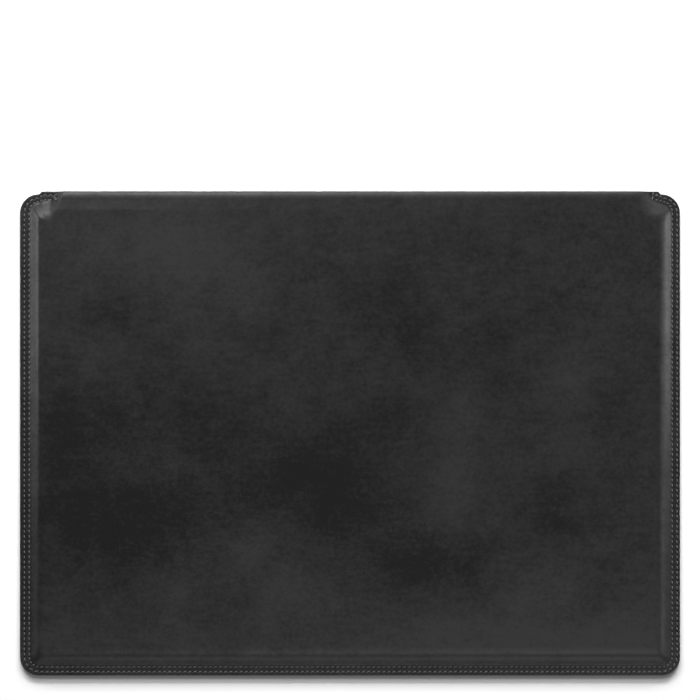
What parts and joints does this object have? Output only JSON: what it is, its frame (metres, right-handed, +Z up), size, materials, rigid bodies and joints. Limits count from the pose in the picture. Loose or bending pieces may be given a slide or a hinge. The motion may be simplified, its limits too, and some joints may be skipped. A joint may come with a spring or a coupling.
{
  "type": "desk mat",
  "caption": "Padded leather desk mat, sewn round three sides, with a rolled back edge that opens into a flat document pocket.",
  "frame": {"origin": "middle of the underside, on the desk surface", "axes": "+X to the right along the long side, +Y to the back, towards the open rolled edge, +Z up out of the writing surface"},
  "size_m": [0.6, 0.44, 0.01],
  "materials": {
    "top_leather": "satin",
    "facing_leather": "satin",
    "base_suede": "matte",
    "lining": "matte",
    "board": "matte",
    "foam": "matte",
    "needle_thread": "satin",
    "bobbin_thread": "satin"
  },
  "bodies": {
    "root": {"base_panel": "base_suede", "base_board": "board", "pocket_floor_lining": "lining", "lower_lip_facing": "facing_leather", "pocket_ceiling_lining": "lining", "top_board": "board", "foam_pad": "foam", "top_leather": "top_leather", "outer_row_needle_thread": "needle_thread", "inner_row_needle_thread": "needle_thread", "left_tack_needle_thread": "needle_thread", "right_tack_needle_thread": "needle_thread", "outer_row_bobbin_thread": "bobbin_thread", "inner_row_bobbin_thread": "bobbin_thread", "left_tack_bobbin_thread": "bobbin_thread", "right_tack_bobbin_thread": "bobbin_thread"}
  },
  "joints": []
}
